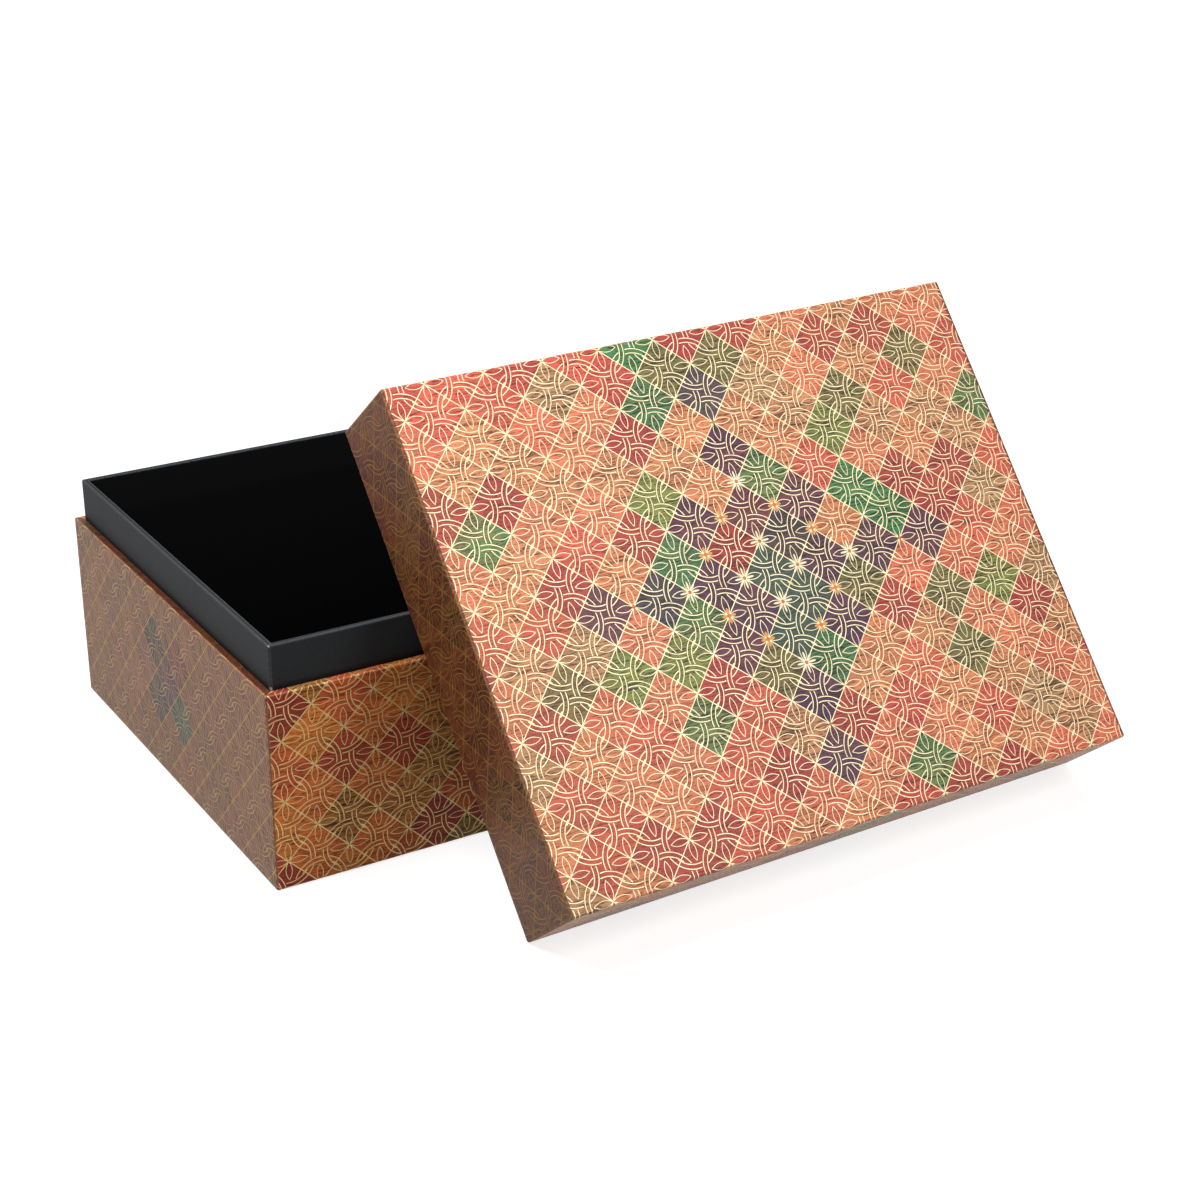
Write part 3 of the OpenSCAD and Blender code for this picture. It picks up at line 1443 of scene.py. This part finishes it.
@dataclass
class Neck:
    """The black paper over the neck."""

    sizes: BoxSizes
    inset: float = 0.02 * MM
    top_r: float = 0.45 * MM
    foot_rub: float = 0.6 * MM

    def skin(self) -> Skin:
        """The paper's face, up the outside, over the top edge and down the inside.

        Returns:
            The folded sheet.
        """
        s = self.sizes
        length, width = (size - 2 * s.ledge - 2 * self.inset for size in (s.length, s.width))
        wall = s.neck_board + 2 * s.paper - 2 * self.inset
        rise = Run(s.neck_top - self.inset - s.floor_level - self.top_r)
        turn = fold(self.top_r)
        profile = Profile((rise, turn, Run(wall - 2 * self.top_r), turn, rise), 0.0, -QUARTER)
        return Skin(length, width, profile, s.floor_level, s.corner_r, upside_down=True)

    def build(self) -> None:
        """Builds the paper, rubbed through at its front corner."""
        s = self.sizes
        corner = (s.ledge - s.length / 2, s.ledge - s.width / 2)
        rubs = [(*corner, s.neck_top), (*corner, s.base_h + self.foot_rub)]
        # The plan inside the neck's walls gets painted shade
        wall = s.ledge + s.neck_board / 2
        inside = (s.length / 2 - wall, s.width / 2 - wall)
        # Painted shade towards the neck's foot, just over the ledge
        paper = BlackPaper("black_paper_neck").make(rubs, inside, s.base_h)
        dress(self.skin().mesh("neck_black_paper"), paper, Slot.BLACK, "neck_paper")


@dataclass
class Lid(Wrapped):
    """The lid: its printed wrap, the gold lines and the small stars about its middle."""

    seed: float = 2.0
    metal: float = 0.25
    star_points: tuple[int, int] = (8, 4)
    star_r: float = 4.2 * MM
    small_star_r: float = 3.0 * MM
    dot_r: float = 0.75 * MM
    notch: float = 0.78
    star_lifts: tuple[float, float] = (0.055 * MM, 0.065 * MM)

    def skin(self) -> Skin:
        """The wrap's outer face, from the top down the walls, over the rim and up inside.

        Returns:
            The folded sheet.
        """
        s = self.sizes
        rise = s.lid_h - 2 * s.skin_inset - 2 * s.fold_r
        rim = s.lid_wall - s.skin_inset - s.fold_r - s.inner_fold_r
        margin = s.fold_r / 2
        profile = Profile(self.section(margin, rise, rim), s.fold_r + margin)
        return Skin(*s.wrap_plan, profile, s.lid_h - s.skin_inset, s.corner_r, pose=s.lid_pose())

    def build(self) -> None:
        """Builds the wrap, its lines and its stars."""
        skin = self.skin()
        wall_x = skin.panel_half()[0]
        veneer = PrintedVeneer(
            "printed_paper_lid", self.lattice, LID_PALETTE, StarPlan(), self.seed, wall_x
        )
        # Painted highlight: the lid's gold is paler and creamier than the base's, though it is the
        # same foil
        gold = GoldInk("gold_lines_lid", "#f4e4ba", "#e2c68c", self.metal, wall_x, "#a4844e")
        self.cover("lid", skin, veneer, gold)
        self.stars(skin)

    def stars(self, skin: Skin) -> None:
        """Sets pale stars, small amber ones and orange dots on the corners of the middle squares.

        Args:
            skin: The lid's skin.
        """
        quarter_turn = np.array([[0, -1], [1, 0]])
        turns = [np.linalg.matrix_power(quarter_turn, n) for n in range(4)]
        large, small, outer = (
            np.array([turn @ step for turn in turns for step in steps]) * self.lattice.half
            for steps in (((1, 0), (3, 0)), ((1, 2), (2, 1)), ((5, 0),))
        )
        pale = GoldInk("pale_gold", "#f6e8c6", "#ecd8a4").make()
        amber = GoldInk("amber_gold", "#d9924c", "#e0a860").make()
        orange = GoldInk("orange_ink", "#d97838", "#c86a30", metal=0.0).make()
        flat, raised = (Rosettes(skin, lift) for lift in self.star_lifts)
        many, few = self.star_points
        dots = np.concatenate([large, small, outer])
        pieces = (
            (flat.build("lid_pale_stars", large, self.star_r, many, self.notch), pale),
            (flat.build("lid_amber_stars", small, self.small_star_r, few, self.notch), amber),
            (raised.build("lid_orange_dots", dots, self.dot_r, 0, 0.0), orange),
        )
        for piece, ink in pieces:
            dress(piece, ink, Slot.PRINTED)


@dataclass
class Carcass:
    """The boards and plain sheets that keep their solids."""

    nodes: Mapping[str, bpy.types.Object]
    boards: tuple[str, ...] = ("base_board", "neck_board", "lid_board")
    sheets: tuple[str, ...] = ("floor_lining", "lid_lining", "base_foot_sheet")

    def build(self) -> None:
        """Gives each kept solid its finish."""
        board = GreyBoard().make()
        # Painted shade: the linings made near black, darker than the neck's paper, for the inside
        # of the box
        black = BlackPaper("black_paper_lining", "#060606", "#0a0a0b", sheen=0.06).make()
        for material, names in ((board, self.boards), (black, self.sheets)):
            for name in names:
                finishes = self.nodes[name].data.materials
                finishes.clear()
                finishes.append(material)
                LOG.info("%s: kept solid, %s", name, material.name)


@dataclass(frozen=True)
class Lamp:
    """A square soft lamp, with its side in metres and its power in watts."""

    name: str
    place: Place
    size: float
    power: float

    def hang(self, target: Place) -> None:
        """Hangs the lamp.

        Args:
            target: Where it is aimed.
        """
        data = bpy.data.lights.new(self.name, "AREA")
        data.shape = "SQUARE"
        data.size = self.size
        data.energy = self.power
        made = put(self.name, data)
        made.location = self.place
        aim = Vector(target) - Vector(self.place)
        made.rotation_euler = aim.to_track_quat("-Z", "Y").to_euler()


@dataclass
class Studio:
    """A white table and surround, soft lamps, and the camera at the photograph's place.

    The key lamp stands at the front right, one hangs near over the left side and one behind.
    """

    lamps: tuple[Lamp, ...] = (
        Lamp("key", (0.7, -1.1, 1.2), 0.5, 12.5),
        Lamp("top", (-0.3, -0.05, 0.7), 0.35, 4.5),
        Lamp("back", (0.9, 0.9, 0.8), 0.6, 8.0),
    )
    target: Place = (37.96 * MM, -50.43 * MM, 60.0 * MM)
    distance: float = 940.2 * MM
    azimuth: float = math.radians(-30.866)
    elevation: float = math.radians(23.765)
    lens: float = 71.135
    sensor: float = 36.0
    nearest: float = 10.0 * MM
    floor_half: float = 9.0
    ambient: float = 0.12
    table_grey: float = 0.4
    table_roughness: float = 0.9
    table_glow: float = 0.8
    table_edge: tuple[float, float] = (0.35, 1.0)

    def build(self) -> None:
        """Sets up everything round the object."""
        self.camera()
        self.floor()
        self.world()
        for lamp in self.lamps:
            lamp.hang(self.target)
        bpy.context.scene.view_settings.view_transform = "Standard"

    def camera(self) -> None:
        """Aims the camera at the target from the photograph's direction."""
        flat = math.cos(self.elevation)
        across, away = math.sin(self.azimuth) * flat, -math.cos(self.azimuth) * flat
        back = Vector((across, away, math.sin(self.elevation)))
        data = bpy.data.cameras.new("camera")
        data.lens = self.lens
        data.sensor_width = self.sensor
        data.clip_start = self.nearest
        camera = put("camera", data)
        camera.location = Vector(self.target) + back * self.distance
        camera.rotation_euler = (-back).to_track_quat("-Z", "Y").to_euler()
        bpy.context.scene.camera = camera

    def floor(self) -> None:
        """Lays a white table top that keeps the object's shadow."""
        h = self.floor_half
        data = bpy.data.meshes.new("table_top")
        corners = [(-h, -h, 0.0), (h, -h, 0.0), (h, h, 0.0), (-h, h, 0.0)]
        data.from_pydata(corners, [], [(0, 1, 2, 3)])
        bench = Bench.material("table_white")
        away = bench.take("VectorMath", {"operation": "LENGTH"}, {0: bench.object_place()}, "Value")
        far = away.ramp_between(*self.table_edge)
        glow = self.table_glow + far * (1.0 - self.table_glow)
        data.materials.append(bench.surface({
            "Base Color": (self.table_grey, self.table_grey, self.table_grey, 1.0),
            "Roughness": self.table_roughness,
            "Specular IOR Level": 0.0,
            "Emission Color": WHITE,
            "Emission Strength": bench.looked_at() * glow,
        }))
        put("table_top", data)

    def world(self) -> None:
        """White where it is seen or mirrored, and softer as a light."""
        world = bpy.data.worlds.new("surround")
        bpy.context.scene.world = world
        bench = Bench(world)
        level = self.ambient + bench.looked_at() * (1.0 - self.ambient)
        surround = bench.node("Background", {}, {"Color": WHITE, "Strength": level})
        bench.node("OutputWorld", {}, {"Surface": surround.outputs[0]})


def main() -> None:
    """Builds the object and its studio."""
    logging.basicConfig(level=logging.INFO, format="%(name)s %(message)s")
    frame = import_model()
    sizes = BoxSizes()
    lattice = Lattice()
    Studio().build()
    Carcass(frame["nodes"]).build()
    Neck(sizes).build()
    Base(sizes, lattice).build()
    Lid(sizes, lattice).build()


if __name__ == "__main__":
    main()
